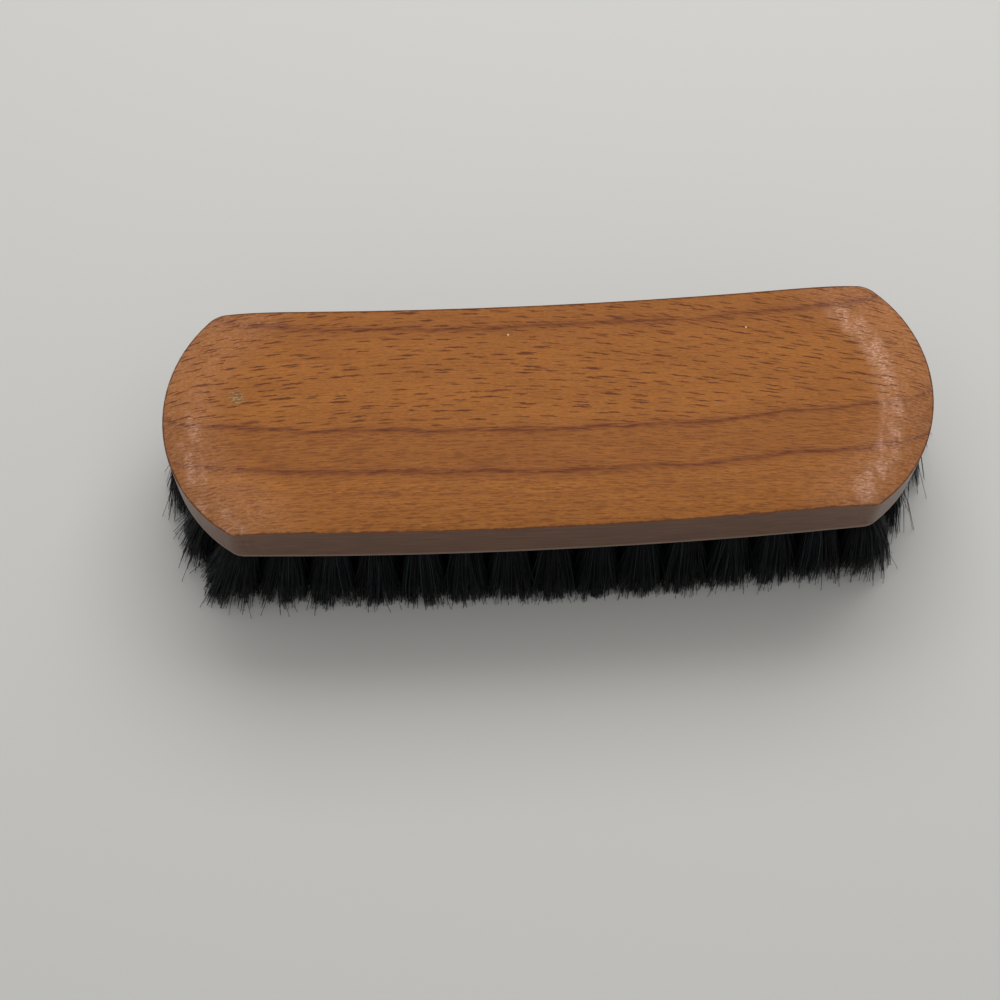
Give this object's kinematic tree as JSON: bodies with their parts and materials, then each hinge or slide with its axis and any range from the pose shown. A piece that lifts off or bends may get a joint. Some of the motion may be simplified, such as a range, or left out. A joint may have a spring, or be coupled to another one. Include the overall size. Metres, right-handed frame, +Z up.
{
  "type": "shoe shine brush",
  "caption": "Hand brush for polishing shoes: a varnished beech block with round ends and staggered tufts of black horsehair set in drilled holes.",
  "frame": {"origin": "middle of the brush seen from above, on the plane of the trimmed bristle tips", "axes": "+X along the length, -Y to the near long side, which bows out slightly, +Z up through the bristles to the back of the block"},
  "size_m": [0.1802, 0.0612, 0.041],
  "materials": {
    "beech": "orange-brown stain under thin satin varnish",
    "horsehair": "black, with a low blue-grey sheen",
    "anchor_wire": "drawn flat wire"
  },
  "bodies": {
    "root": {"block": "beech", "tuft_column_01": "horsehair", "tuft_column_02": "horsehair", "tuft_column_03": "horsehair", "tuft_column_04": "horsehair", "tuft_column_05": "horsehair", "tuft_column_06": "horsehair", "tuft_column_07": "horsehair", "tuft_column_08": "horsehair", "tuft_column_09": "horsehair", "tuft_column_10": "horsehair", "tuft_column_11": "horsehair", "tuft_column_12": "horsehair", "tuft_column_13": "horsehair", "tuft_column_14": "horsehair", "tuft_column_15": "horsehair", "tuft_column_16": "horsehair", "tuft_column_17": "horsehair", "tuft_column_18": "horsehair", "tuft_column_19": "horsehair", "tuft_column_20": "horsehair", "tuft_column_21": "horsehair", "tuft_column_22": "horsehair", "tuft_column_23": "horsehair", "tuft_column_24": "horsehair", "tuft_column_25": "horsehair", "tuft_column_26": "horsehair", "tuft_column_27": "horsehair", "tuft_column_28": "horsehair", "tuft_column_29": "horsehair", "tuft_column_30": "horsehair", "tuft_column_31": "horsehair", "tuft_column_32": "horsehair", "tuft_column_33": "horsehair", "anchor_row_1": "anchor_wire", "anchor_row_2": "anchor_wire", "anchor_row_3": "anchor_wire", "anchor_row_4": "anchor_wire", "anchor_row_5": "anchor_wire"}
  },
  "joints": []
}
